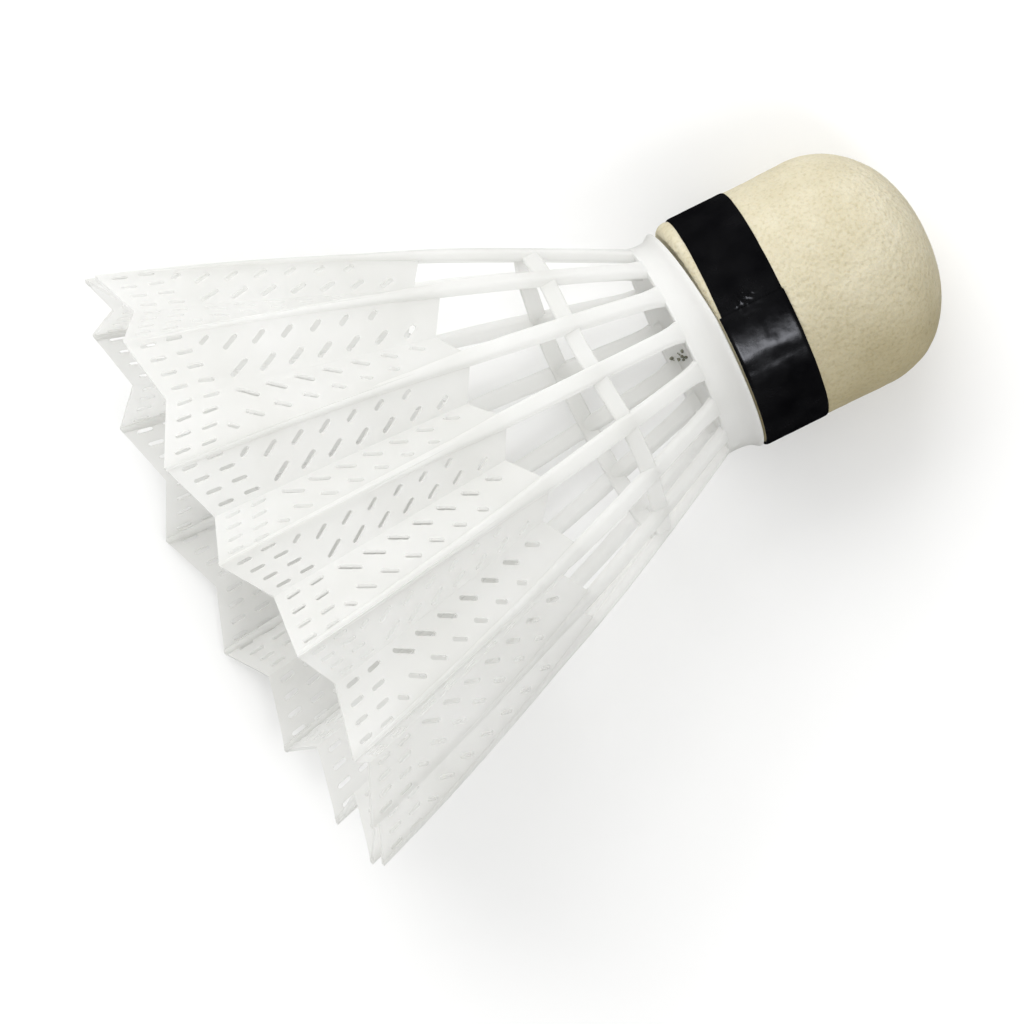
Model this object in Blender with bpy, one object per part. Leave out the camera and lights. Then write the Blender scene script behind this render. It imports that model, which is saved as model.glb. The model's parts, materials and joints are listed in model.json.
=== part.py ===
"""A badminton shuttlecock: a foam head, a wrap of black tape and a one-piece moulded plastic skirt.

Everything is modelled on the shuttle's own axis, in metres. z = 0 is the back face of the head, the
head lies at negative z and the skirt's mouth at positive z. The parts are children of one empty,
which lays the shuttle on its side on the floor, resting on the head's dome and on two rim tips.
"""
import math

import bmesh
import bpy
from mathutils import Vector

MM = 0.001

# Head: a cylinder with a blunt dome, moulded from foam, with a blind socket in its back face.
HEAD_LENGTH = 25.0 * MM
DOME_LENGTH = 10.3 * MM
DOME_POWER = 2.2
DOME_STEPS = 12
HEAD_RADIUS = 12.8 * MM
HEAD_BACK_RADIUS = 12.75 * MM
HEAD_EDGE_ROUND = 0.4 * MM
SOCKET_DEPTH = 10.4 * MM

# Tape: one turn of thin tape, pressed into the foam, laid on a little askew, with its end lapped.
TAPE_THICKNESS = 0.2 * MM
TAPE_WIDTH = 7.0 * MM
TAPE_MIDDLE = -4.85 * MM
TAPE_SKEW_SIDEWAYS = 0.5 * MM
TAPE_SKEW_UPWARDS = 0.45 * MM
TAPE_DRIFT = 0.3 * MM
TAPE_LAP = math.radians(20)
TAPE_SEAM = math.radians(187.4)
TAPE_LAP_GAP = 0.1 * MM
TAPE_STEPS = 76
TAPE_GROOVE_MARGIN = 0.7 * MM

# Clearance kept between separate pieces that touch in the real object.
GAP = 0.3 * MM

# Steel slug that brings the shuttle up to weight, in a pocket at the bottom of the socket.
SLUG_RADIUS = 3.0 * MM
SLUG_LENGTH = 3.8 * MM
SLUG_CHAMFER = 0.3 * MM

# Skirt: neck and spigot.
SPIGOT_RADIUS = 5.5 * MM
SPIGOT_BORE = 4.2 * MM
SPIGOT_CHAMFER = 0.5 * MM
SPIGOT_FLOOR = 1.2 * MM
NECK_FLANGE_RADIUS = 12.1 * MM
NECK_WAIST_RADIUS = 11.75 * MM
NECK_WAIST_Z = 1.8 * MM
NECK_END_RADIUS = 11.9 * MM
NECK_END_Z = 3.9 * MM
NECK_WALL = 1.2 * MM
NECK_FLOOR = 1.2 * MM

# Skirt: stems. Their outer faces follow a gently curved cone: radius = base + slope * d - bend * d * d,
# where d is the distance behind CONE_START.
STEMS = 16
CONE_START = 6.0 * MM
CONE_BASE = 13.04 * MM
CONE_SLOPE = 0.495
CONE_BEND = 2.37
STEM_TOP_Z = 1.0 * MM
STEM_TOP_RADIUS = 12.15 * MM
STEM_END_Z = 57.1 * MM
STEM_WIDTH_TOP = 1.35 * MM
STEM_WIDTH_END = 1.9 * MM
STEM_THICKNESS = 1.3 * MM
STEM_STEPS = 10

# The skirt is soft and lies bent out of round, fully so at its mouth: wider and lower than a circle,
# lifted at the floor side, pushed to one side, and dented and swollen across its upper half.
# A stem keeps its length, so its end moves forwards as it spreads and backwards as it is pressed in.
PRESS_WIDER = 0.095
PRESS_LOWER = 0.085
PRESS_LENGTHWAYS = 0.42
LIFT = 1.6 * MM
SWAY = 2.0 * MM
SWAY_UPPER = 1.0 * MM
SWAY_UNEVEN = 2.7 * MM
SWELL = 5.0 * MM

# Skirt: the hoop of bars that ties the stems together across the windows.
HOOP_Z = 13.9 * MM
HOOP_HEIGHT = 1.85 * MM
HOOP_SINK = 0.3 * MM
HOOP_THICKNESS = 0.9 * MM

# Skirt: pleated vane. It folds outwards at each stem and inwards halfway between two stems.
VANE_RIDGE_TOP = 24.3 * MM
VANE_FOLD_TOP = 26.8 * MM
VANE_RIDGE_END = 56.9 * MM
VANE_FOLD_END = 54.6 * MM
VANE_THICKNESS = 0.5 * MM
VANE_SINK = 0.35 * MM
VANE_FACE_SHARE = 0.2225
VANE_LEAST_DEPTH = 0.3 * MM
VANE_STEPS = 8

TURN_STEPS = 56
SMOOTH_ANGLE = math.radians(32)


def clear_scene():
    for old in list(bpy.data.objects):
        bpy.data.objects.remove(old, do_unlink=True)


def material(name, color, roughness, metallic=0.0):
    made = bpy.data.materials.new(name)
    made.use_nodes = True
    shader = made.node_tree.nodes["Principled BSDF"]
    shader.inputs["Base Color"].default_value = (*color, 1.0)
    shader.inputs["Roughness"].default_value = roughness
    shader.inputs["Metallic"].default_value = metallic
    made.diffuse_color = (*color, 1.0)
    return made


def add_object(name, bm, finish, parent):
    bmesh.ops.recalc_face_normals(bm, faces=bm.faces)
    mesh = bpy.data.meshes.new(name)
    bm.to_mesh(mesh)
    bm.free()
    mesh.shade_smooth()
    mesh.set_sharp_from_angle(angle=SMOOTH_ANGLE)
    mesh.materials.append(finish)
    made = bpy.data.objects.new(name, mesh)
    bpy.context.scene.collection.objects.link(made)
    made.parent = parent
    return made


def on_axis(radius, angle, z):
    return Vector((radius * math.cos(angle), radius * math.sin(angle), z))


def turned(profile):
    """A solid of revolution about the axis. The profile's (radius, z) points start and end on the axis."""
    bm = bmesh.new()
    rings = []
    for radius, z in profile:
        if radius == 0.0:
            rings.append([bm.verts.new((0.0, 0.0, z))])
            continue
        angles = [2 * math.pi * i / TURN_STEPS for i in range(TURN_STEPS)]
        rings.append([bm.verts.new(on_axis(radius, a, z)) for a in angles])
    for ring, after in zip(rings, rings[1:]):
        for i in range(TURN_STEPS):
            j = (i + 1) % TURN_STEPS
            if len(ring) == 1:
                bm.faces.new((ring[0], after[i], after[j]))
            elif len(after) == 1:
                bm.faces.new((ring[i], after[0], ring[j]))
            else:
                bm.faces.new((ring[i], after[i], after[j], ring[j]))
    return bm


def add_section_sweep(bm, sections, closed=False):
    """Skin a list of equal cross-sections, each a list of points, with flat caps unless it is closed."""
    loops = [[bm.verts.new(point) for point in section] for section in sections]
    pairs = list(zip(loops, loops[1:]))
    if closed:
        pairs.append((loops[-1], loops[0]))
    for loop, after in pairs:
        for i in range(len(loop)):
            j = (i + 1) % len(loop)
            bm.faces.new((loop[i], loop[j], after[j], after[i]))
    if not closed:
        bm.faces.new(loops[0])
        bm.faces.new(loops[-1])


def blend(start, end, share):
    return start + (end - start) * share


def cone_radius(z):
    d = z - CONE_START
    return CONE_BASE + CONE_SLOPE * d - CONE_BEND * d * d


def stem_angle(index):
    """Stems stand half a pitch either side of the x axis, so a fold of the vane points straight down."""
    return 2 * math.pi * (index + 0.5) / STEMS


def press(angle, z):
    """How far the skirt is bent from round at this angle and distance along the axis."""
    share = min(max((z - NECK_END_Z) / (STEM_END_Z - NECK_END_Z), 0.0), 1.0)
    facing = math.cos(angle) ** 2
    down = -PRESS_LOWER * cone_radius(z) * math.cos(angle) - LIFT
    sideways = PRESS_WIDER * cone_radius(z) * math.sin(angle) + SWAY * facing
    if math.cos(angle) < 0.0:
        swell = SWELL * math.sin(3 * angle) * facing
        down += swell * math.cos(angle)
        sideways += swell * math.sin(angle) + (SWAY_UPPER + SWAY_UNEVEN * math.sin(2 * angle)) * facing
    outward = down * math.cos(angle) + sideways * math.sin(angle)
    return Vector((down, sideways, -PRESS_LENGTHWAYS * outward)) * share


def dome_points():
    """The dome's outline from its tip to where the cylinder starts, as a superellipse."""
    points = []
    for i in range(DOME_STEPS + 1):
        turn = math.pi / 2 * (1 - i / DOME_STEPS)
        radius = HEAD_RADIUS * math.cos(turn) ** (2 / DOME_POWER) if i else 0.0
        depth = DOME_LENGTH * math.sin(turn) ** (2 / DOME_POWER)
        points.append((radius, DOME_LENGTH - HEAD_LENGTH - depth))
    return points


def make_head(parent):
    foam = material("head_foam", (0.74, 0.66, 0.45), 0.85)
    pressed = HEAD_BACK_RADIUS - GAP
    groove_start = TAPE_MIDDLE - TAPE_WIDTH / 2 - TAPE_GROOVE_MARGIN
    groove_end = TAPE_MIDDLE + TAPE_WIDTH / 2 + TAPE_GROOVE_MARGIN + TAPE_DRIFT
    pocket_radius = SLUG_RADIUS + GAP
    pocket_end = -SOCKET_DEPTH - SLUG_LENGTH - 2 * GAP
    profile = dome_points() + [
        (HEAD_BACK_RADIUS, groove_start),
        (pressed, groove_start),
        (pressed, groove_end),
        (HEAD_BACK_RADIUS, groove_end),
        (HEAD_BACK_RADIUS - HEAD_EDGE_ROUND / 3, -HEAD_EDGE_ROUND / 3),
        (HEAD_BACK_RADIUS - HEAD_EDGE_ROUND, 0.0),
        (SPIGOT_RADIUS + GAP, 0.0),
        (SPIGOT_RADIUS + GAP, -SOCKET_DEPTH),
        (pocket_radius, -SOCKET_DEPTH),
        (pocket_radius, pocket_end),
        (0.0, pocket_end),
    ]
    return add_object("head", turned(profile), foam, parent)


def make_tape(parent):
    vinyl = material("tape_vinyl", (0.012, 0.012, 0.014), 0.22)
    turn = 2 * math.pi + TAPE_LAP
    lift = TAPE_THICKNESS + TAPE_LAP_GAP
    sections = []
    for i in range(TAPE_STEPS + 1):
        along = turn * i / TAPE_STEPS
        angle = TAPE_SEAM - TAPE_LAP + along
        climb = (along - (turn - 1.5 * TAPE_LAP)) / (0.5 * TAPE_LAP)
        inner = HEAD_BACK_RADIUS + lift * min(max(climb, 0.0), 1.0)
        outer = inner + TAPE_THICKNESS
        drift = blend(-TAPE_DRIFT / 2, TAPE_DRIFT / 2, i / TAPE_STEPS)
        askew = TAPE_SKEW_SIDEWAYS * math.sin(angle) - TAPE_SKEW_UPWARDS * math.cos(angle)
        middle = TAPE_MIDDLE + askew + drift
        low = middle - TAPE_WIDTH / 2
        high = middle + TAPE_WIDTH / 2
        corners = ((inner, low), (outer, low), (outer, high), (inner, high))
        sections.append([on_axis(radius, angle, z) for radius, z in corners])
    bm = bmesh.new()
    add_section_sweep(bm, sections)
    return add_object("tape_band", bm, vinyl, parent)


def make_slug(parent):
    steel = material("slug_steel", (0.42, 0.42, 0.43), 0.35, metallic=0.9)
    back = -SOCKET_DEPTH - GAP
    front = back - SLUG_LENGTH
    profile = [
        (0.0, front),
        (SLUG_RADIUS - SLUG_CHAMFER, front),
        (SLUG_RADIUS, front + SLUG_CHAMFER),
        (SLUG_RADIUS, back - SLUG_CHAMFER),
        (SLUG_RADIUS - SLUG_CHAMFER, back),
        (0.0, back),
    ]
    return add_object("weight_slug", turned(profile), steel, parent)


def neck_mesh():
    """The turned neck: a hollow spigot that plugs into the head, a floor, and the collar behind it."""
    tip = GAP - SOCKET_DEPTH
    floor_top = GAP + NECK_FLOOR
    profile = [
        (0.0, tip),
        (SPIGOT_RADIUS - SPIGOT_CHAMFER, tip),
        (SPIGOT_RADIUS, tip + SPIGOT_CHAMFER),
        (SPIGOT_RADIUS, GAP),
        (NECK_FLANGE_RADIUS, GAP),
        (NECK_FLANGE_RADIUS, 2 * GAP),
        (NECK_WAIST_RADIUS, NECK_WAIST_Z),
        (NECK_END_RADIUS, NECK_END_Z),
        (NECK_END_RADIUS - NECK_WALL, NECK_END_Z),
        (NECK_WAIST_RADIUS - NECK_WALL, floor_top),
        (SPIGOT_BORE, floor_top),
        (SPIGOT_BORE, tip + SPIGOT_FLOOR),
        (0.0, tip + SPIGOT_FLOOR),
    ]
    return turned(profile)


def stem_section(index, share):
    """The four corners of a stem's cross-section at a share of its length."""
    angle = stem_angle(index)
    outward = on_axis(1.0, angle, 0.0)
    sideways = on_axis(1.0, angle + math.pi / 2, 0.0)
    z = blend(STEM_TOP_Z, STEM_END_Z, share)
    outer = max(cone_radius(z), STEM_TOP_RADIUS)
    inner = outer - STEM_THICKNESS
    half = blend(STEM_WIDTH_TOP, STEM_WIDTH_END, share) / 2
    middle = Vector((0.0, 0.0, z)) + press(angle, z)
    corners = ((outer, -half), (outer, half), (inner, half), (inner, -half))
    return [middle + outward * radius + sideways * side for radius, side in corners]


def stems_mesh():
    """Sixteen tapering bars, from ribs on the collar's outer face to the points of the rim."""
    bm = bmesh.new()
    for index in range(STEMS):
        sections = [stem_section(index, step / STEM_STEPS) for step in range(STEM_STEPS + 1)]
        add_section_sweep(bm, sections)
    return bm


def hoop_mesh():
    """A closed ring of sixteen straight bars whose corners are inside the stems."""
    outer = cone_radius(HOOP_Z) - HOOP_SINK
    inner = outer - HOOP_THICKNESS
    low = HOOP_Z - HOOP_HEIGHT / 2
    high = HOOP_Z + HOOP_HEIGHT / 2
    corners = ((outer, low), (outer, high), (inner, high), (inner, low))
    sections = []
    for index in range(STEMS):
        angle = stem_angle(index)
        moved = press(angle, HOOP_Z)
        sections.append([moved + on_axis(radius, angle, z) for radius, z in corners])
    bm = bmesh.new()
    add_section_sweep(bm, sections, closed=True)
    return bm


def ridge_point(index, z):
    """A point on the vane's outer ridge, which runs along a stem."""
    angle = stem_angle(index)
    return on_axis(cone_radius(z) - VANE_SINK, angle, z) + press(angle, z)


def fold_point(index, z):
    """The fold between two stems. The faces keep their width, so it is deepest where stems are closest."""
    a = ridge_point(index, z)
    b = ridge_point(index + 1, z)
    width = VANE_FACE_SHARE * cone_radius(z)
    depth = math.sqrt(max(width ** 2 - ((b - a).length / 2) ** 2, VANE_LEAST_DEPTH ** 2))
    middle = (a + b) / 2
    return middle - Vector((middle.x, middle.y, 0.0)).normalized() * depth


def vane_mesh():
    """The pleated cone behind the windows, with a notched front edge and a pointed rim."""
    bm = bmesh.new()
    sections = []
    for column in range(2 * STEMS):
        is_fold = column % 2 == 1
        line = fold_point if is_fold else ridge_point
        top = VANE_FOLD_TOP if is_fold else VANE_RIDGE_TOP
        end = VANE_FOLD_END if is_fold else VANE_RIDGE_END
        outer_line = []
        inner_line = []
        for step in range(VANE_STEPS + 1):
            point = line(column // 2, blend(top, end, step / VANE_STEPS))
            inward = Vector((-point.x, -point.y, 0.0)).normalized()
            outer_line.append(point)
            inner_line.append(point + inward * VANE_THICKNESS)
        sections.append(outer_line + inner_line[::-1])
    add_section_sweep(bm, sections, closed=True)
    return bm


def make_skirt(parent):
    """The skirt is one moulding, so its neck, stems, hoop and vane are united into one solid."""
    plastic = material("skirt_plastic", (0.9, 0.9, 0.88), 0.35)
    skirt = add_object("skirt", neck_mesh(), plastic, parent)
    features = (("stems_guide", stems_mesh()), ("hoop_guide", hoop_mesh()), ("vane_guide", vane_mesh()))
    for name, bm in features:
        guide = add_object(name, bm, plastic, parent)
        guide.hide_render = True
        guide.display_type = "WIRE"
        union = skirt.modifiers.new(name, "BOOLEAN")
        union.operation = "UNION"
        union.solver = "EXACT"
        union.object = guide
    return skirt


def lean_on_floor():
    """The axis's slope when a line touches the dome and the two stems below it."""
    stems = []
    for index in (0, STEMS - 1):
        for step in range(STEM_STEPS + 1):
            stems += [(corner.x, corner.z) for corner in stem_section(index, step / STEM_STEPS)]
    low = 0.0
    high = math.radians(45)
    for _ in range(60):
        lean = (low + high) / 2
        stem_drop = max(x * math.cos(lean) - z * math.sin(lean) for x, z in stems)
        dome_drop = max(r * math.cos(lean) - z * math.sin(lean) for r, z in dome_points())
        if stem_drop > dome_drop:
            low = lean
        else:
            high = lean
    return lean


def world_bounds(objects):
    bpy.context.view_layer.update()
    depsgraph = bpy.context.evaluated_depsgraph_get()
    points = []
    for item in objects:
        shown = item.evaluated_get(depsgraph)
        points += [shown.matrix_world @ vertex.co for vertex in shown.data.vertices]
    lows = [min(point[axis] for point in points) for axis in range(3)]
    highs = [max(point[axis] for point in points) for axis in range(3)]
    return lows, highs


def main():
    clear_scene()
    pose = bpy.data.objects.new("pose", None)
    bpy.context.scene.collection.objects.link(pose)
    pieces = [make_head(pose), make_tape(pose), make_slug(pose), make_skirt(pose)]
    pose.rotation_euler = (0.0, math.pi / 2 - lean_on_floor(), 0.0)
    lows, highs = world_bounds(pieces)
    pose.location = (-(lows[0] + highs[0]) / 2, -(lows[1] + highs[1]) / 2, -lows[2])


main()
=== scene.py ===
"""Looks of the badminton shuttlecock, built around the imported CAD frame.

Lengths are in millimetres on the shuttle's own axis: z = 0 is the back face of the head, the head is at
negative z and the mouth at positive z; x points down to the floor and y to the side. to_world turns
that into the frame's metres.
"""
import json
import math

import bmesh
import bpy
import numpy as np
from mathutils import Matrix, Vector, noise
from mathutils.geometry import delaunay_2d_cdt


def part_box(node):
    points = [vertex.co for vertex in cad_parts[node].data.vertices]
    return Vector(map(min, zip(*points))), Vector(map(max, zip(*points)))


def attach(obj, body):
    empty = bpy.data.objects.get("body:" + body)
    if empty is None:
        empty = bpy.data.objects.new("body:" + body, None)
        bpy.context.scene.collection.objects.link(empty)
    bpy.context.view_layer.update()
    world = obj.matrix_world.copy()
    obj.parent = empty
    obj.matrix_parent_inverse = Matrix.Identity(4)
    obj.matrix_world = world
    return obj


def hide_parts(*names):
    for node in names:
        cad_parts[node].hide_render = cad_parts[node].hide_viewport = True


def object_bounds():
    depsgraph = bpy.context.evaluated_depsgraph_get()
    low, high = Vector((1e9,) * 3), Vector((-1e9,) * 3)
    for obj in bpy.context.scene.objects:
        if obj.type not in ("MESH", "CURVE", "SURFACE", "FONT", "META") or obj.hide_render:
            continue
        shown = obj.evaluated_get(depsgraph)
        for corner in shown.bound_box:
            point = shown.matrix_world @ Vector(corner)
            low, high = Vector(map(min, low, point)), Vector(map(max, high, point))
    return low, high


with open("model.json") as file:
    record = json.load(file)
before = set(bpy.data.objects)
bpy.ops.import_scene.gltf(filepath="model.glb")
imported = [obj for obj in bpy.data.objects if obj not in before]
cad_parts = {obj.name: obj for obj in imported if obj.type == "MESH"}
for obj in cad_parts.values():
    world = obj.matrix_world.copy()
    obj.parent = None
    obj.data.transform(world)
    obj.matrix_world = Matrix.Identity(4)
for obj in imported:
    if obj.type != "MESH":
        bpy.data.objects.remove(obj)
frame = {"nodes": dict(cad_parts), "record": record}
cad_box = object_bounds()

MM = 0.001
STEMS = 16
PITCH = 2 * math.pi / STEMS

# How deep the slug's middle lies in the head, which gives the axis its origin.
SLUG_MIDDLE = 12.6

# The stretch of the skirt that bends: from the end of the neck to the tips of the stems.
NECK_END = 3.9
STEM_END = 57.1

# The skirt's cone: radius = base + slope * d - bend * d * d, with d counted from CONE_START.
CONE_START = 6.0
CONE_BASE = 13.04
CONE_SLOPE = 0.495
CONE_BEND = 0.00237

# How the soft skirt lies bent out of round, as in the CAD solids.
PRESS_WIDER = 0.095
PRESS_LOWER = 0.085
PRESS_LENGTHWAYS = 0.42
SWAY = 2.0
SWAY_UPPER = 1.0
SWAY_UNEVEN = 2.7
SWELL = 5.0
LIFT = 1.6

# Vane. Its ridges run along the stems, just inside the cone, and a fold lies between each two of them.
# FACE_SHARE is the width of a face as a share of the cone's radius.
VANE_SINK = 0.35
VANE_THICKNESS = 0.4
RIDGE_TOP = 24.3
FOLD_TOP = 26.8
RIDGE_END = 56.9
FOLD_END = 54.6
FACE_SHARE = 0.2225
LEAST_DEPTH = 0.3
SHEET_CREASE = math.radians(25)

# Its mesh: the steps along the edges, the grid between them, how far that grid stays clear of the slots, the
# rim and the top edge, and the distance under which doubled points are welded.
EDGE_STEP = 1.1
GRID_STEP = 1.15
GRID_CLEAR = 0.5
WELD = 0.002

# Folds that the bent skirt has pulled open at the rim: what is left of their depth there.
OPENED_FOLDS = {10: 0.25, 11: 0.7, 12: 0.15, 13: 0.45, 14: 0.4, 15: 0.6}

# Perforations of one face: two columns of slanting slits, one slit more under them, and two rows of dashes
# by the rim. A column is its place, as a share of the face's width from the fold, then its longest and its
# shortest slit. The last slit is its place, its length and how far nearer the rim it is than the first row.
SLIT_ROWS = 7
SLIT_ROW_STEP = 2.93
SLIT_FIRST = 8.0
SLIT_TILT = math.radians(38)
SLIT_WIDTH = 0.5
INNER_SLITS = (0.225, 2.65, 1.9)
OUTER_SLITS = (0.655, 2.2, 1.2)
OUTER_ROWS = 6
LAST_SLIT = (0.76, 1.4, 2.45)
DASH_ROWS = (1.95, 4.75)
DASH_SIZE = (1.7, 0.48)
DASH_FROM_FOLD = 0.85
DASH_STEP = 1.68
DASHES = 4

# Stems at places along them: (z, width, height, rise of the outer face above the vane's ridges).
STEM_SECTIONS = (
    (3.0, 2.7, 1.2, 0.3),
    (3.9, 2.45, 1.25, 0.34),
    (4.6, 2.05, 1.3, 0.36),
    (5.8, 1.8, 1.35, 0.36),
    (10.0, 1.8, 1.35, 0.35),
    (20.0, 1.9, 1.3, 0.33),
    (24.5, 1.8, 1.2, 0.22),
    (30.0, 1.35, 1.1, 0.0),
    (42.0, 1.1, 1.0, -0.1),
    (53.0, 0.9, 0.9, -0.13),
    (56.85, 0.65, 0.7, -0.15),
)
STEM_STEPS = 90
STEM_CORNER = 0.42
STEM_CORNER_SHARE = 0.4

# Hoop of cross-bars, straight from stem to stem.
HOOP_Z = 13.9
HOOP_HEIGHT = 1.8
HOOP_SINK = 0.35
HOOP_THICKNESS = 0.8
HOOP_CORNER = 0.28
HOOP_STEPS = 6

# The collar gapes from the head at one side, where the head sits a little loose: how far its edge draws
# back, how far it closes in, as a share of its radius, and how far the head's edge follows it. Only what
# lies outside COLLAR_WALL moves.
LOOSE_SIDE = math.radians(8)
COLLAR_GAPE = 0.95
COLLAR_TUCK = 0.03
LIP_GAPE = 0.5
COLLAR_WALL = 11.0
NECK_STEPS = 128

# Dark lumps in the neck: where they lie, their sizes, how far their middles stand off the bore's wall,
# as a share of their size, and how uneven they are.
NECK_BORE = 10.65
DARK_LUMPS = 14
DARK_LUMP_SEED = 5
DARK_LUMP_ANGLE = math.radians(5)
DARK_LUMP_SPREAD = 0.06
DARK_LUMP_PLACES = (2.0, 3.6)
DARK_LUMP_SIZES = (0.07, 0.2)
DARK_LUMP_STAND = 0.6
DARK_LUMP_UNEVEN = 0.5


def on_axis(radius, angle, z):
    return Vector((radius * math.cos(angle), radius * math.sin(angle), z))


def blend(start, end, share):
    return start + (end - start) * share


def at_station(table, place):
    """The values of a table at a place between its stations, which stand in its first column."""
    stations = np.array(table)
    return [float(np.interp(place, stations[:, 0], column)) for column in stations[:, 1:].T]


def limited(share):
    return min(max(share, 0.0), 1.0)


def axis_placement():
    """The matrix from shuttle millimetres to the frame's metres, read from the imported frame."""
    axis = Vector(frame["record"]["mounts"][0]["axis"]).normalized()
    low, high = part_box("weight_slug")
    origin = (low + high) / 2 + axis * SLUG_MIDDLE * MM
    lean = math.atan2(axis.z, axis.x)
    turn = Matrix.Rotation(math.pi / 2 - lean, 4, "Y")
    return Matrix.Translation(origin) @ turn @ Matrix.Scale(MM, 4), axis


to_world, shuttle_axis = axis_placement()


def new_piece(name, bm, smooth_angle=math.radians(40)):
    """Turn a bmesh in shuttle millimetres into a piece of the visual model."""
    bmesh.ops.transform(bm, matrix=to_world, verts=bm.verts)
    mesh = bpy.data.meshes.new(name)
    bm.to_mesh(mesh)
    bm.free()
    mesh.shade_smooth()
    mesh.set_sharp_from_angle(angle=smooth_angle)
    piece = bpy.data.objects.new(name, mesh)
    bpy.context.scene.collection.objects.link(piece)
    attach(piece, "root")
    return piece


def sweep(bm, sections, closed=False):
    """Skin equal cross-sections with quads, with flat caps unless the sweep is closed."""
    loops = [[bm.verts.new(point) for point in section] for section in sections]
    pairs = list(zip(loops, loops[1:]))
    if closed:
        pairs.append((loops[-1], loops[0]))
    for loop, after in pairs:
        for i in range(len(loop)):
            j = (i + 1) % len(loop)
            bm.faces.new((loop[i], loop[j], after[j], after[i]))
    if not closed:
        bm.faces.new(loops[0])
        bm.faces.new(loops[-1])


def turned(profile, steps):
    """A solid of revolution; a profile point on the axis closes it."""
    bm = bmesh.new()
    rings = []
    for radius, z in profile:
        if radius == 0.0:
            rings.append([bm.verts.new((0.0, 0.0, z))])
        else:
            rings.append([bm.verts.new(on_axis(radius, 2 * math.pi * i / steps, z)) for i in range(steps)])
    for ring, after in zip(rings, rings[1:]):
        for i in range(steps):
            j = (i + 1) % steps
            if len(ring) == 1:
                bm.faces.new((ring[0], after[i], after[j]))
            elif len(after) == 1:
                bm.faces.new((ring[i], after[0], ring[j]))
            else:
                bm.faces.new((ring[i], after[i], after[j], ring[j]))
    bmesh.ops.recalc_face_normals(bm, faces=bm.faces)
    return bm


# ---------------------------------------------------------------- skirt

def cone_radius(z):
    d = z - CONE_START
    return CONE_BASE + CONE_SLOPE * d - CONE_BEND * d * d


def stem_angle(index):
    return PITCH * (index + 0.5)


def flex(angle, z):
    """How far the soft skirt is bent from round at this angle and distance along the axis."""
    share = limited((z - NECK_END) / (STEM_END - NECK_END))
    facing = math.cos(angle) ** 2
    down = -PRESS_LOWER * cone_radius(z) * math.cos(angle) - LIFT
    sideways = PRESS_WIDER * cone_radius(z) * math.sin(angle) + SWAY * facing
    if math.cos(angle) < 0.0:
        swell = SWELL * math.sin(3 * angle) * facing
        down += swell * math.cos(angle)
        sideways += swell * math.sin(angle) + (SWAY_UPPER + SWAY_UNEVEN * math.sin(2 * angle)) * facing
    outward = down * math.cos(angle) + sideways * math.sin(angle)
    return Vector((down, sideways, -PRESS_LENGTHWAYS * outward)) * share


def ridge_point(index, z):
    angle = stem_angle(index)
    return on_axis(cone_radius(z) - VANE_SINK, angle, z) + flex(angle, z)


def face_width(z):
    return FACE_SHARE * cone_radius(z)


def fold_point(index, z):
    """Halfway between two stems. The faces keep their width, so the fold is deeper where stems are close."""
    ridge = ridge_point(index, z)
    next_ridge = ridge_point(index + 1, z)
    half = (next_ridge - ridge).length / 2
    depth = math.sqrt(max(face_width(z) ** 2 - half ** 2, LEAST_DEPTH ** 2))
    out_here = limited((z - RIDGE_TOP) / (FOLD_END - RIDGE_TOP))
    depth *= blend(1.0, OPENED_FOLDS.get(index, 1.0), out_here)
    middle = (ridge + next_ridge) / 2
    inward = Vector((-middle.x, -middle.y, 0.0)).normalized()
    return middle + inward * depth


def stadium(length, width, centre, direction):
    """The outline of a slot with round ends, as points on the flat face."""
    along = Vector(direction).normalized()
    across = Vector((-along.y, along.x))
    reach = (length - width) / 2
    points = []
    for end, start in ((1, -90), (-1, 90)):
        for step in range(4):
            turn = math.radians(start + 60 * step)
            offset = along * (math.cos(turn) * width / 2) + across * (math.sin(turn) * width / 2)
            points.append(Vector(centre) + along * (end * reach) + offset)
    return points


def rim_z(share):
    """The rim of a face, from its ridge (share 0) to its fold (share 1)."""
    return blend(RIDGE_END, FOLD_END, share)


def top_z(share):
    return blend(RIDGE_TOP, FOLD_TOP, share)


def face_holes():
    """The perforations of one face, from a stem (w = 0) to a fold (w = face width), in flat millimetres."""
    holes = []
    slope = (math.sin(SLIT_TILT), math.cos(SLIT_TILT))
    for row in range(SLIT_ROWS):
        z = FOLD_END - SLIT_FIRST - SLIT_ROW_STEP * row
        for place, longest, shortest in (INNER_SLITS, OUTER_SLITS):
            if place == OUTER_SLITS[0] and row >= OUTER_ROWS:
                continue
            length = blend(longest, shortest, row / (SLIT_ROWS - 1))
            holes.append(stadium(length, SLIT_WIDTH, (face_width(z) * (1 - place), z), slope))
    place, length, below = LAST_SLIT
    z = FOLD_END - SLIT_FIRST + below
    holes.append(stadium(length, SLIT_WIDTH, (face_width(z) * (1 - place), z), slope))
    for offset in DASH_ROWS:
        width = face_width(FOLD_END - offset)
        for dash in range(DASHES):
            w = width - DASH_FROM_FOLD - DASH_STEP * dash
            centre = (w, rim_z(w / width) - offset)
            holes.append(stadium(*DASH_SIZE, centre, (0.0, 1.0)))
    return holes


def edge_steps(start, end):
    count = max(2, round(abs(end - start) / EDGE_STEP))
    return [blend(start, end, i / count) for i in range(count + 1)]


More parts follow.
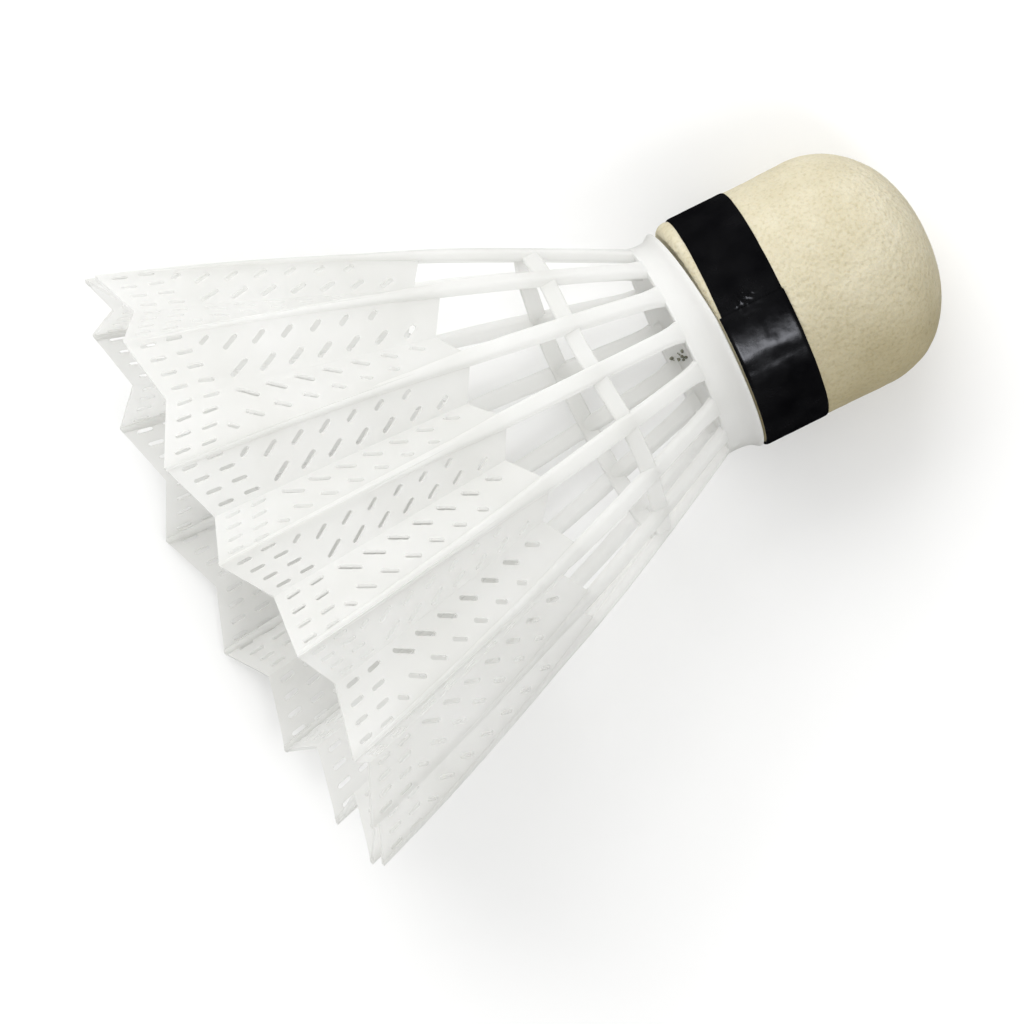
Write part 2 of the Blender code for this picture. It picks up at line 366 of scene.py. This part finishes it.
def face_grid(holes):
    """Points inside the face and clear of its holes, so that its triangles stay even."""
    taken = np.array([tuple(point) for hole in holes for point in hole])
    middles = [sum((Vector(point) for point in hole), Vector((0, 0))) / len(hole) for hole in holes]
    taken = np.vstack([taken, np.array([tuple(middle) for middle in middles])])
    points = []
    for z in np.arange(RIDGE_TOP + GRID_STEP, RIDGE_END, GRID_STEP):
        width = face_width(z)
        count = round(width / GRID_STEP)
        for i in range(1, count):
            w = width * i / count
            share = w / width
            if not top_z(share) + GRID_CLEAR < z < rim_z(share) - GRID_CLEAR:
                continue
            if np.hypot(taken[:, 0] - w, taken[:, 1] - z).min() > GRID_CLEAR:
                points.append(Vector((w, z)))
    return points


def flat_face():
    """Triangulate one perforated face in the flat: (w, z) points and triangles, without the holes."""
    outline = []
    for z in edge_steps(RIDGE_TOP, RIDGE_END):
        outline.append(Vector((0.0, z)))
    for share in (0.2, 0.4, 0.6, 0.8):
        z = rim_z(share)
        outline.append(Vector((share * face_width(z), z)))
    for z in edge_steps(FOLD_END, FOLD_TOP):
        outline.append(Vector((face_width(z), z)))
    for share in (0.75, 0.5, 0.25):
        z = top_z(share)
        outline.append(Vector((share * face_width(z), z)))
    holes = face_holes()
    points = []
    faces = []
    for loop in [outline[::-1]] + holes:
        faces.append(list(range(len(points), len(points) + len(loop))))
        points += loop
    points += face_grid(holes)
    result = delaunay_2d_cdt(points, [], faces, 1, 1e-5)
    kept = [face for face, inside in zip(result[2], result[5]) if list(inside) == [0]]
    return result[0], kept


def make_vane():
    """The pleated, perforated cone as one sheet, then given its thickness."""
    points, triangles = flat_face()
    bm = bmesh.new()
    for index in range(STEMS):
        for side in (0, 1):
            verts = []
            for w, z in points:
                share = w / face_width(z)
                ridge = ridge_point(index + side, z)
                verts.append(bm.verts.new(blend(ridge, fold_point(index, z), share)))
            for face in triangles:
                corners = [verts[i] for i in face]
                bm.faces.new(corners if side else corners[::-1])
    bmesh.ops.remove_doubles(bm, verts=bm.verts, dist=WELD)
    bmesh.ops.recalc_face_normals(bm, faces=bm.faces)
    piece = new_piece("skirt_vane", bm)
    thicken(piece, VANE_THICKNESS * MM)
    return piece


def thicken(piece, thickness):
    """Give a sheet its thickness inwards, with crisp edges round the perforations."""
    thick = piece.modifiers.new("thickness", "SOLIDIFY")
    thick.thickness = thickness
    thick.offset = -1.0
    solid = bpy.data.meshes.new_from_object(piece.evaluated_get(bpy.context.evaluated_depsgraph_get()))
    piece.modifiers.clear()
    piece.data = solid
    solid.shade_smooth()
    solid.set_sharp_from_angle(angle=SHEET_CREASE)


def rounded_bar(width, height, corner):
    """A bar's cross-section with round corners: (side, inward) pairs."""
    points = []
    corners = ((1, corner, 0), (1, height - corner, 90), (-1, height - corner, 180), (-1, corner, 270))
    for side, depth, start in corners:
        for step in range(4):
            turn = math.radians(start - 90 + 30 * step)
            x = side * (width / 2 - corner) + corner * math.cos(turn)
            y = depth + corner * math.sin(turn)
            points.append((x, y))
    return points


def make_stems():
    """Tapering bars from the collar to the rim, bent with the skirt."""
    bm = bmesh.new()
    for index in range(STEMS):
        angle = stem_angle(index)
        outward = on_axis(1.0, angle, 0.0)
        sideways = on_axis(1.0, angle + math.pi / 2, 0.0)
        sections = []
        for step in range(STEM_STEPS + 1):
            z = blend(STEM_SECTIONS[0][0], STEM_SECTIONS[-1][0], step / STEM_STEPS)
            width, height, rise = at_station(STEM_SECTIONS, z)
            corner = min(STEM_CORNER, width * STEM_CORNER_SHARE)
            outer = cone_radius(z) - VANE_SINK + rise
            middle = Vector((0.0, 0.0, z)) + flex(angle, z)
            ring = []
            for side, depth in rounded_bar(width, height, corner):
                ring.append(middle + outward * (outer - depth) + sideways * side)
            sections.append(ring)
        sweep(bm, sections)
    bmesh.ops.recalc_face_normals(bm, faces=bm.faces)
    return new_piece("skirt_stems", bm)


def make_hoop():
    """The ring of cross-bars between the stems."""
    bm = bmesh.new()
    sections = []
    for step in range(STEMS * HOOP_STEPS):
        angle = PITCH * (step / HOOP_STEPS + 0.5)
        within = (step % HOOP_STEPS) / HOOP_STEPS
        chord = math.cos(PITCH / 2) / math.cos(PITCH * (within - 0.5))
        outer = (cone_radius(HOOP_Z) - HOOP_SINK) * chord
        ring = []
        for side, depth in rounded_bar(HOOP_HEIGHT, HOOP_THICKNESS, HOOP_CORNER):
            ring.append(on_axis(outer - depth, angle, HOOP_Z + side) + flex(angle, HOOP_Z))
        sections.append(ring)
    sweep(bm, sections, closed=True)
    bmesh.ops.recalc_face_normals(bm, faces=bm.faces)
    return new_piece("skirt_hoop", bm)


def gape(angle):
    """0 where the collar is pressed on the head, up to 1 at the side where the head sits a little loose."""
    return max(0.0, -math.sin(angle - LOOSE_SIDE))


def make_neck():
    """The spigot, then the collar, the neck's bore behind it and the spigot's hollow, as one solid."""
    profile = [
        (0.0, -10.1), (5.0, -10.1), (5.35, -9.95), (5.5, -9.6), (5.5, 0.05), (12.5, 0.05), (12.67, 0.14),
        (12.68, 0.34), (12.45, 0.7), (12.18, 1.1), (12.0, 1.6), (11.92, 2.2), (11.9, 3.0), (11.93, 3.6),
        (11.85, 3.87), (11.6, 3.97), (10.95, 3.97), (10.75, 3.8), (10.7, 3.4), (10.55, 1.9), (10.3, 1.6),
        (9.9, 1.5), (4.6, 1.5), (4.3, 1.4), (4.2, 1.1), (4.2, -8.5), (3.9, -8.85), (0.0, -8.9),
    ]
    bm = turned(profile, NECK_STEPS)
    for vert in bm.verts:
        if vert.co.z > 0.0 and math.hypot(vert.co.x, vert.co.y) > COLLAR_WALL:
            angle = math.atan2(vert.co.y, vert.co.x)
            near_head = max(0.0, 1 - vert.co.z / NECK_END)
            inwards = 1 - COLLAR_TUCK * gape(angle) * near_head
            vert.co = Vector((vert.co.x * inwards, vert.co.y * inwards, vert.co.z))
            vert.co.z += COLLAR_GAPE * gape(angle) * near_head
    return new_piece("skirt_neck", bm, math.radians(50))


def make_dark_lumps():
    """A few small dark lumps lying inside the neck, against the collar."""
    bm = bmesh.new()
    rng = np.random.default_rng(DARK_LUMP_SEED)
    for _ in range(DARK_LUMPS):
        angle = DARK_LUMP_ANGLE + rng.uniform(-DARK_LUMP_SPREAD, DARK_LUMP_SPREAD)
        size = rng.uniform(*DARK_LUMP_SIZES)
        place = on_axis(NECK_BORE - size * DARK_LUMP_STAND, angle, rng.uniform(*DARK_LUMP_PLACES))
        made = bmesh.ops.create_icosphere(bm, subdivisions=2, radius=size)
        for vert in made["verts"]:
            vert.co *= 1 + DARK_LUMP_UNEVEN * noise.noise(vert.co * 4.0 + place)
            vert.co += place
    return new_piece("neck_dark_lumps", bm)


# ---------------------------------------------------------------- head

HEAD_LENGTH = 25.0
DOME_LENGTH = 10.3
DOME_POWER = 2.2
HEAD_RADIUS = 12.8
HEAD_BACK_RADIUS = 12.75
DOME_END = DOME_LENGTH - HEAD_LENGTH
SIDE_END = -1.0
EDGE_ROUND = 0.9
SOCKET_RADIUS = 5.8
SOCKET_DEPTH = 10.4
HEAD_STEPS = 300
DOME_RINGS = 56
SIDE_RINGS = 48
EDGE_RINGS = 6

# Relief of the foam: (noise scale, place in the noise, height) of its swellings, lumps and grain. The pits
# are cells of a noise, and come in patches.
FOAM_RELIEF = ((0.16, (0, 0, 0), 0.12), (0.7, (7, 3, 1), 0.035), (2.6, (0, 0, 0), 0.016))
PIT_SCALE = 1.1
PIT_SIZE = 0.2
PIT_DEPTH = 0.9
PATCH_SCALE = 0.22
PATCH_PLACE = (4, 9, 2)
PATCH_SHARE = 0.3

# The back face is smooth further in from its edge than BACK_EDGE. The last LIP_LENGTH of the side follows
# the collar where that gapes.
BACK_EDGE = 1.2
LIP_LENGTH = 1.6


def head_profile():
    """The dome, the slightly tapered side, the rounded edge of the back face, and the socket."""
    points = [(0.0, -HEAD_LENGTH)]
    for i in range(1, DOME_RINGS + 1):
        turn = math.pi / 2 * (1 - i / DOME_RINGS)
        radius = HEAD_RADIUS * math.cos(turn) ** (2 / DOME_POWER)
        depth = DOME_LENGTH * math.sin(turn) ** (2 / DOME_POWER)
        points.append((radius, DOME_END - depth))
    for i in range(1, SIDE_RINGS + 1):
        share = i / SIDE_RINGS
        points.append((blend(HEAD_RADIUS, HEAD_BACK_RADIUS, share), blend(DOME_END, SIDE_END, share)))
    for i in range(1, EDGE_RINGS + 1):
        turn = math.radians(90 * i / EDGE_RINGS)
        radius = HEAD_BACK_RADIUS - EDGE_ROUND * (1 - math.cos(turn))
        points.append((radius, SIDE_END + EDGE_ROUND * math.sin(turn)))
    points += [(11.2, -0.05), (SOCKET_RADIUS, 0.0), (SOCKET_RADIUS, -SOCKET_DEPTH), (0.0, -SOCKET_DEPTH)]
    return points


def head_relief(point):
    """Small dents and swellings of the moulded foam, in millimetres."""
    relief = 0.0
    for scale, place, height in FOAM_RELIEF:
        relief += noise.noise(point * scale + Vector(place)) * height
    nearest = noise.voronoi(point * PIT_SCALE)[0][0]
    patch = max(0.0, noise.noise(point * PATCH_SCALE + Vector(PATCH_PLACE)) + PATCH_SHARE)
    return relief - max(0.0, PIT_SIZE - nearest) * PIT_DEPTH * patch


def make_head():
    """The foam, pressed in under the tape, with its back edge drawn out where the collar gapes."""
    bm = turned(head_profile(), HEAD_STEPS)
    bm.normal_update()
    groove = HEAD_BACK_RADIUS - TAPE_PRESS
    for vert in bm.verts:
        radius = math.hypot(vert.co.x, vert.co.y)
        if radius < HEAD_BACK_RADIUS - BACK_EDGE and vert.co.z > DOME_END:
            continue
        angle = math.atan2(vert.co.y, vert.co.x)
        mouth_side, head_side = at_station(TAPE_EDGES, tape_share(angle))
        if head_side < vert.co.z < mouth_side and radius > groove:
            sunk = groove / radius
            vert.co = Vector((vert.co.x * sunk, vert.co.y * sunk, vert.co.z))
        else:
            vert.co += vert.normal * head_relief(vert.co)
            vert.co.z += LIP_GAPE * gape(angle) * limited((vert.co.z + LIP_LENGTH) / LIP_LENGTH)
    return new_piece("head_foam_body", bm, math.radians(60))


# ---------------------------------------------------------------- tape

# The tape's two edges at places along it: (share of its length, mouth's side, head's side).
TAPE_EDGES = (
    (0.0, -0.36, -7.4),
    (0.05, -0.4, -7.45),
    (0.17, -0.95, -7.65),
    (0.29, -1.25, -7.8),
    (0.5, -1.0, -7.9),
    (0.75, -0.2, -7.45),
    (1.0, -0.14, -7.55),
)
# How far it presses the foam in, and how far it lies off the foam and off its own lapped start. Its end is
# at TAPE_SEAM, and climbs to lie over its start within LAP_CLIMB of the lap's length. Its edges are a little
# ragged, and curl down over CURL_SHARE of half its width.
TAPE_PRESS = 0.12
TAPE_CLEAR = 0.08
LAP_CLEAR = 0.04
TAPE_THICKNESS = 0.16
TAPE_LAP = math.radians(20)
TAPE_SEAM = math.radians(187.4)
LAP_CLIMB = 0.5
TAPE_RAGGED = 0.035
CURL_DROP = 0.12
CURL_SHARE = 0.1
TAPE_ALONG = 480
TAPE_ACROSS = 36

# Its wrinkles: (noise scale, height) of the waves, and a crumpled patch: how far round from the seam it is,
# its z, its reach round and along the axis, and its creases.
TAPE_WAVES = ((0.45, 0.04), (1.3, 0.012))
CRUMPLE_FROM_SEAM = 1.1
CRUMPLE_Z = -3.2
CRUMPLE_REACH = (1.3, 1.6)
CREASE_SCALE = 1.7
CREASE_PLACE = (3, 1, 5)
CREASE_HEIGHT = 0.6


def tape_share(angle):
    """How far along the tape its upper layer is at this angle."""
    along = (angle - TAPE_SEAM) % (2 * math.pi) + TAPE_LAP
    return along / (2 * math.pi + TAPE_LAP)


def tape_relief(angle, z):
    """Wrinkles: faint waves all round and a crumpled patch beside the lapped end."""
    point = on_axis(HEAD_RADIUS, angle, z)
    waves = sum(noise.noise(point * scale) * height for scale, height in TAPE_WAVES)
    away = (angle - TAPE_SEAM) * HEAD_RADIUS - CRUMPLE_FROM_SEAM
    along, across = CRUMPLE_REACH
    patch = math.exp(-((away / along) ** 2) - ((z - CRUMPLE_Z) / across) ** 2)
    creases = abs(noise.noise(point * CREASE_SCALE + Vector(CREASE_PLACE))) * CREASE_HEIGHT * patch
    return waves + creases


def make_tape():
    """One turn of tape whose end climbs over its start."""
    turn = 2 * math.pi + TAPE_LAP
    lift = TAPE_THICKNESS + LAP_CLEAR
    sections = []
    for i in range(TAPE_ALONG + 1):
        along = turn * i / TAPE_ALONG
        angle = TAPE_SEAM - TAPE_LAP + along
        climb = limited((along - (turn - (1 + LAP_CLIMB) * TAPE_LAP)) / (LAP_CLIMB * TAPE_LAP))
        climb = climb * climb * (3 - 2 * climb)
        inner = HEAD_BACK_RADIUS - TAPE_PRESS + TAPE_CLEAR + lift * climb
        ragged = TAPE_RAGGED * noise.noise(Vector((angle * 4.0, 0.0, 2.0)))
        mouth_side, head_side = at_station(TAPE_EDGES, i / TAPE_ALONG)
        ring_out = []
        ring_in = []
        for j in range(TAPE_ACROSS + 1):
            across = j / TAPE_ACROSS * 2 - 1
            z = blend(head_side, mouth_side, j / TAPE_ACROSS) + ragged
            curl = -CURL_DROP * (max(0.0, abs(across) - (1 - CURL_SHARE)) / CURL_SHARE) ** 2
            radius = inner + tape_relief(angle % (2 * math.pi), z) + curl
            ring_in.append(on_axis(radius, angle, z))
            ring_out.append(on_axis(radius + TAPE_THICKNESS, angle, z))
        sections.append(ring_out + ring_in[::-1])
    bm = bmesh.new()
    sweep(bm, sections)
    bmesh.ops.recalc_face_normals(bm, faces=bm.faces)
    return new_piece("tape_wrap", bm, math.radians(45))


# ---------------------------------------------------------------- materials

def node(nodes, kind, **values):
    """A new node, with values for its sockets or else for its own settings."""
    made = nodes.new(kind)
    for key, value in values.items():
        if key in made.inputs:
            made.inputs[key].default_value = value
        else:
            setattr(made, key, value)
    return made


def new_material(name, **values):
    """A material with values for the sockets of its shader."""
    made = bpy.data.materials.new(name)
    made.use_nodes = True
    shader = made.node_tree.nodes["Principled BSDF"]
    for key, value in values.items():
        shader.inputs[key.replace("_", " ")].default_value = value
    return made, shader, made.node_tree.nodes, made.node_tree.links


def texture(nodes, links, coords, kind, **values):
    """A texture laid on the piece's own coordinates."""
    made = node(nodes, kind, **values)
    links.new(coords.outputs["Object"], made.inputs["Vector"])
    return made


def ramp(nodes, links, source, stops):
    """Colours between the stops, as the source socket runs from one to the next."""
    made = nodes.new("ShaderNodeValToRGB")
    for element, (place, color) in zip(made.color_ramp.elements, stops):
        element.position = place
        element.color = (*color, 1.0)
    links.new(source, made.inputs["Fac"])
    return made.outputs["Color"]


def bumped(nodes, links, height, shaders, strength, distance):
    """Bump from a height socket for each of the shaders."""
    made = node(nodes, "ShaderNodeBump", Strength=strength, Distance=distance)
    links.new(height, made.inputs["Height"])
    for shader in shaders:
        links.new(made.outputs["Normal"], shader.inputs["Normal"])


def mixed(nodes, links, share, first, second):
    """A share of the second shader over the first."""
    made = node(nodes, "ShaderNodeMixShader", Fac=share)
    links.new(first, made.inputs[1])
    links.new(second, made.inputs[2])
    return made.outputs["Shader"]


def multiplied(nodes, links, share, first, second):
    """The first colour darkened by a share of the second."""
    made = node(nodes, "ShaderNodeMix", data_type="RGBA", blend_type="MULTIPLY")
    made.inputs["Factor"].default_value = share
    links.new(first, made.inputs["A"])
    links.new(second, made.inputs["B"])
    return made.outputs["Result"]


def skirt_plastic(name, through_share, sheer_share):
    """Milky moulded plastic: through_share of it lets scattered light through, sheer_share is clear."""
    made, shader, nodes, links = new_material(name, Roughness=0.36, IOR=1.46)
    through = nodes.new("ShaderNodeBsdfTranslucent")
    clear = nodes.new("ShaderNodeBsdfTransparent")
    coords = nodes.new("ShaderNodeTexCoord")
    cloud = texture(nodes, links, coords, "ShaderNodeTexNoise", Scale=110.0, Detail=5.0)
    tint = ramp(nodes, links, cloud.outputs["Fac"], ((0.32, (0.86, 0.86, 0.843)), (0.7, (0.9, 0.9, 0.89))))
    links.new(tint, shader.inputs["Base Color"])
    links.new(tint, through.inputs["Color"])
    fine = texture(nodes, links, coords, "ShaderNodeTexNoise", Scale=1100.0, Detail=3.0)
    bumped(nodes, links, fine.outputs["Fac"], (shader, through), strength=0.1, distance=0.0001)
    milky = mixed(nodes, links, through_share, shader.outputs["BSDF"], through.outputs["BSDF"])
    sheer = mixed(nodes, links, sheer_share, milky, clear.outputs["BSDF"])
    links.new(sheer, nodes["Material Output"].inputs["Surface"])
    return made


def head_foam():
    """Matt cream foam with fine cells and specks, and painted shade that darkens it towards +y, the side
    turned away from the key lamp.
    """
    made, shader, nodes, links = new_material(
        "head_foam_look",
        Roughness=0.72,
        Subsurface_Weight=0.12,
        Subsurface_Radius=(1.0, 0.7, 0.4),
        Subsurface_Scale=0.0008,
    )
    coords = nodes.new("ShaderNodeTexCoord")
    cloud = texture(nodes, links, coords, "ShaderNodeTexNoise", Scale=170.0, Detail=6.0, Roughness=0.6)
    tint = ramp(nodes, links, cloud.outputs["Fac"], ((0.3, (0.51, 0.46, 0.32)), (0.68, (0.60, 0.555, 0.42))))
    cells = texture(nodes, links, coords, "ShaderNodeTexVoronoi", Scale=1500.0)
    grain = texture(nodes, links, coords, "ShaderNodeTexNoise", Scale=2600.0, Detail=5.0)
    height = node(nodes, "ShaderNodeMath", operation="ADD")
    links.new(cells.outputs["Distance"], height.inputs[0])
    links.new(grain.outputs["Fac"], height.inputs[1])
    bumped(nodes, links, height.outputs["Value"], (shader,), strength=0.6, distance=0.0002)
    specks = ramp(nodes, links, grain.outputs["Fac"], ((0.3, (0.78, 0.75, 0.66)), (0.5, (1.0, 1.0, 1.0))))
    speckled = multiplied(nodes, links, 0.6, tint, specks)
    # Painted shade: the foam's colour darkens smoothly towards +y, the side of the head turned away from the
    # key lamp, to stand in for shade there.
    place = nodes.new("ShaderNodeSeparateXYZ")
    links.new(coords.outputs["Object"], place.inputs["Vector"])
    side = node(nodes, "ShaderNodeMapRange", interpolation_type="SMOOTHSTEP")
    side.inputs["From Min"].default_value = -0.002
    side.inputs["From Max"].default_value = 0.0128
    links.new(place.outputs["Y"], side.inputs["Value"])
    painted_shade = ramp(nodes, links, side.outputs["Result"], ((0.0, (1.0, 1.0, 1.0)), (1.0, (0.68, 0.635, 0.5))))
    links.new(multiplied(nodes, links, 1.0, speckled, painted_shade), shader.inputs["Base Color"])
    return made


def tape_vinyl():
    """Black vinyl with an uneven, dull gloss."""
    made, shader, nodes, links = new_material("tape_vinyl_look", Specular_IOR_Level=0.0, Roughness=0.6)
    gloss = nodes.new("ShaderNodeBsdfAnisotropic")
    gloss.inputs["Color"].default_value = (0.9, 0.92, 1.0, 1.0)
    coords = nodes.new("ShaderNodeTexCoord")
    cloud = texture(nodes, links, coords, "ShaderNodeTexNoise", Scale=260.0, Detail=5.0)
    black = ((0.3, (0.002, 0.002, 0.0025)), (0.7, (0.006, 0.006, 0.0065)))
    links.new(ramp(nodes, links, cloud.outputs["Fac"], black), shader.inputs["Base Color"])
    dullness = ((0.3, (0.16, 0.16, 0.16)), (0.75, (0.34, 0.34, 0.34)))
    links.new(ramp(nodes, links, cloud.outputs["Fac"], dullness), gloss.inputs["Roughness"])
    fine = texture(nodes, links, coords, "ShaderNodeTexNoise", Scale=420.0, Detail=4.0)
    bumped(nodes, links, fine.outputs["Fac"], (shader, gloss), strength=0.25, distance=0.0002)
    glossy = mixed(nodes, links, 0.05, shader.outputs["BSDF"], gloss.outputs["BSDF"])
    links.new(glossy, nodes["Material Output"].inputs["Surface"])
    return made


def clouded(name, scale, detail, stops, **values):
    """A plain material whose colour drifts between two stops. It comes with its shader, noise and links."""
    made, shader, nodes, links = new_material(name, **values)
    coords = nodes.new("ShaderNodeTexCoord")
    cloud = texture(nodes, links, coords, "ShaderNodeTexNoise", Scale=scale, Detail=detail)
    links.new(ramp(nodes, links, cloud.outputs["Fac"], stops), shader.inputs["Base Color"])
    return made, shader, cloud, links


def slug_steel():
    stops = ((0.3, (0.3, 0.3, 0.3)), (0.7, (0.5, 0.5, 0.51)))
    made, shader, cloud, links = clouded("slug_steel_look", 600.0, detail=5.0, stops=stops, Metallic=1.0)
    links.new(cloud.outputs["Fac"], shader.inputs["Roughness"])
    return made


# Dark grey-brown colour for the small lumps in the neck.
def dark_lumps_material():
    stops = ((0.3, (0.1, 0.105, 0.075)), (0.7, (0.3, 0.3, 0.23)))
    return clouded("dark_lumps_material_look", 2500.0, detail=4.0, stops=stops, Roughness=0.9)[0]


def floor_paint():
    stops = ((0.3, (0.86, 0.86, 0.855)), (0.7, (0.88, 0.88, 0.875)))
    return clouded("floor_paint_look", 3.0, detail=3.0, stops=stops, Roughness=0.6)[0]


# ---------------------------------------------------------------- camera, light, floor

# The camera leans towards the mouth, goes a little round the shuttle and rolls. VIEW_WIDTH is what it takes
# in at VIEW_DISTANCE, in metres.
VIEW_LEAN = math.radians(5.5)
VIEW_ROUND = math.radians(2.95)
VIEW_ROLL = math.radians(26.36)
VIEW_DISTANCE = 1.2
VIEW_WIDTH = 0.106
SENSOR = 36.0


def make_camera():
    """Nearly square to the shuttle's side, a little towards its mouth, with the head to the upper right."""
    side = Vector((0.0, 1.0, 0.0))
    upright = shuttle_axis.cross(side) * -1
    if upright.z < 0:
        upright = -upright
    upright = upright * math.cos(VIEW_ROUND) - side * math.sin(VIEW_ROUND)
    towards = upright * math.cos(VIEW_LEAN) + shuttle_axis * math.sin(VIEW_LEAN)
    head_way = -shuttle_axis
    head_way = (head_way - towards * head_way.dot(towards)).normalized()
    right = Matrix.Rotation(-VIEW_ROLL, 3, towards) @ head_way
    up = towards.cross(right)
    spans = []
    for axis in (right, up):
        places = [axis.dot(vert.co) for piece in frame["nodes"].values() for vert in piece.data.vertices]
        spans.append((min(places) + max(places)) / 2)
    middle = (Vector(cad_box[0]) + Vector(cad_box[1])) / 2
    pivot = right * spans[0] + up * spans[1] + towards * towards.dot(middle)
    data = bpy.data.cameras.new("camera")
    data.sensor_width = SENSOR
    data.lens = SENSOR * VIEW_DISTANCE / VIEW_WIDTH
    data.clip_end = 50.0
    camera = bpy.data.objects.new("camera", data)
    bpy.context.scene.collection.objects.link(camera)
    turn = Matrix((right, up, towards)).transposed().to_4x4()
    camera.matrix_world = Matrix.Translation(pivot + towards * VIEW_DISTANCE) @ turn
    bpy.context.scene.camera = camera


def area_light(name, place, size, power, size_y=None):
    """A white lamp turned towards the shuttle."""
    data = bpy.data.lights.new(name, "AREA")
    data.energy = power
    data.size = size
    if size_y:
        data.shape = "RECTANGLE"
        data.size_y = size_y
    lamp = bpy.data.objects.new(name, data)
    bpy.context.scene.collection.objects.link(lamp)
    lamp.location = place
    lamp.rotation_euler = (Vector((0, 0, 0.02)) - Vector(place)).to_track_quat("-Z", "Y").to_euler()
    return lamp


def make_studio():
    """A pale floor, a white world and two soft lamps; only the strip shows up in the gloss."""
    bm = bmesh.new()
    bmesh.ops.create_grid(bm, x_segments=8, y_segments=8, size=2.5)
    mesh = bpy.data.meshes.new("floor")
    bm.to_mesh(mesh)
    bm.free()
    floor = bpy.data.objects.new("floor", mesh)
    bpy.context.scene.collection.objects.link(floor)
    floor.data.materials.append(floor_paint())
    floor.visible_glossy = False
    world = bpy.data.worlds.new("studio")
    world.use_nodes = True
    world.node_tree.nodes["Background"].inputs["Color"].default_value = (1.0, 1.0, 1.0, 1.0)
    world.node_tree.nodes["Background"].inputs["Strength"].default_value = 0.83
    world.cycles_visibility.glossy = False
    bpy.context.scene.world = world
    key = area_light("key", (-0.1, -1.1, 0.75), size=1.4, power=16.5)
    key.visible_glossy = False
    area_light("strip", (-0.2, 0.42, 0.75), size=0.18, power=1.6, size_y=0.4)
    bpy.context.scene.view_settings.view_transform = "Standard"


def main():
    """Camera, then each piece with its material, then the studio."""
    make_camera()
    thin = skirt_plastic("skirt_plastic_thin", through_share=0.66, sheer_share=0.24)
    bars = skirt_plastic("skirt_plastic_bars", through_share=0.56, sheer_share=0.14)
    solid = skirt_plastic("skirt_plastic_solid", through_share=0.48, sheer_share=0.0)
    looks = ((make_vane(), thin), (make_stems(), bars), (make_hoop(), bars), (make_neck(), solid))
    for piece, look in looks:
        piece.data.materials.append(look)
        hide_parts("skirt")
    dark_lumps = make_dark_lumps()
    dark_lumps.data.materials.append(dark_lumps_material())
    head = make_head()
    head.data.materials.append(head_foam())
    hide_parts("head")
    tape = make_tape()
    tape.data.materials.append(tape_vinyl())
    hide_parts("tape_band")
    slug = frame["nodes"]["weight_slug"]
    slug.data.materials.clear()
    slug.data.materials.append(slug_steel())
    make_studio()


main()
